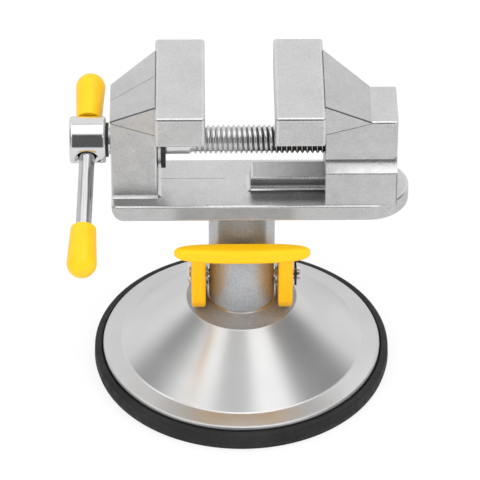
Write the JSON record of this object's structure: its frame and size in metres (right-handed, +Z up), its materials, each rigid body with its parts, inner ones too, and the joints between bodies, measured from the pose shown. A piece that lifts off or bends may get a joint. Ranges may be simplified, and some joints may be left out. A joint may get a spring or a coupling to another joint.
{
  "type": "suction base vise",
  "caption": "Small bench vise on a suction base: a cam lever pulls the rubber cup, and a screw with a tommy bar drives the sliding jaw.",
  "frame": {"origin": "middle of the rubber cup's sealing face, on the bench, on the column's axis", "axes": "+Z up along the column; +X along the spindle from the fixed jaw and its handle towards the moving jaw; the cam lever faces -Y"},
  "size_m": [0.134, 0.1215, 0.1389],
  "materials": {
    "cast_aluminium": "die-cast aluminium, tumbled, with a faint grain and bright rounded edges",
    "spun_aluminium": "turned aluminium, satin, with fine rings round the axis",
    "column_aluminium": "cast aluminium, blasted, satin",
    "black_rubber": "moulded black rubber, slightly satin",
    "yellow_plastic": "moulded yellow plastic, slightly glossy",
    "yellow_vinyl": "dipped yellow vinyl, soft gloss",
    "chrome": "bright chrome plate",
    "zinc_steel": "turned steel, bright zinc plate",
    "black_steel": "blackened spring steel",
    "black_nylon": "black nylon, matte"
  },
  "bodies": {
    "base": {"base_shell": "spun_aluminium", "column": "column_aluminium", "suction_cup": "black_rubber", "return_spring": "zinc_steel", "swivel_washer": "zinc_steel"},
    "pull": {"cross_pin": "chrome", "pin_clip": "black_steel", "pin_washers": "zinc_steel", "pull_rod": "zinc_steel", "cup_insert": "zinc_steel"},
    "lever": {"cam_lever": "yellow_plastic"},
    "head": {"head_casting": "cast_aluminium", "swivel_bolt": "zinc_steel", "spring_washer": "zinc_steel"},
    "jaw": {"moving_jaw": "cast_aluminium"},
    "screw": {"spindle": "chrome", "thrust_washer": "black_nylon", "spindle_washer": "zinc_steel", "spindle_clip": "black_steel"},
    "bar": {"tommy_bar": "chrome", "bar_cap_front": "yellow_vinyl", "bar_cap_rear": "yellow_vinyl"}
  },
  "joints": [
    {"name": "cup_lift", "type": "slide", "parent": "base", "child": "pull", "axis": [0, 0, 1], "range_m": [0, 0.007], "stiffness_N_per_m": 300, "springref_m": -0.002, "deforming": ["suction_cup", "return_spring"]},
    {"name": "lever_turn", "type": "hinge", "parent": "pull", "child": "lever", "pos_m": [0, 0, 0.0429], "axis": [1, 0, 0], "range_deg": [0, 70]},
    {"name": "head_swivel", "type": "hinge", "parent": "base", "child": "head", "pos_m": [0, 0, 0.0809], "axis": [0, 0, 1], "continuous": true},
    {"name": "spindle_turn", "type": "hinge", "parent": "head", "child": "screw", "pos_m": [0, 0, 0.1097], "axis": [1, 0, 0], "range_deg": [-2340, 4851]},
    {"name": "jaw_slide", "type": "slide", "parent": "head", "child": "jaw", "axis": [1, 0, 0], "range_m": [-0.02696, 0.01301]},
    {"name": "bar_slide", "type": "slide", "parent": "screw", "child": "bar", "axis": [0.0299, 0.9506, 0.309], "range_m": [0, 0.033]}
  ],
  "couplings": [
    {"joint": "lever_turn", "follows": "cup_lift", "rad_per_m": 174.53},
    {"joint": "jaw_slide", "follows": "spindle_turn", "m_per_rad": -0.00031831}
  ]
}
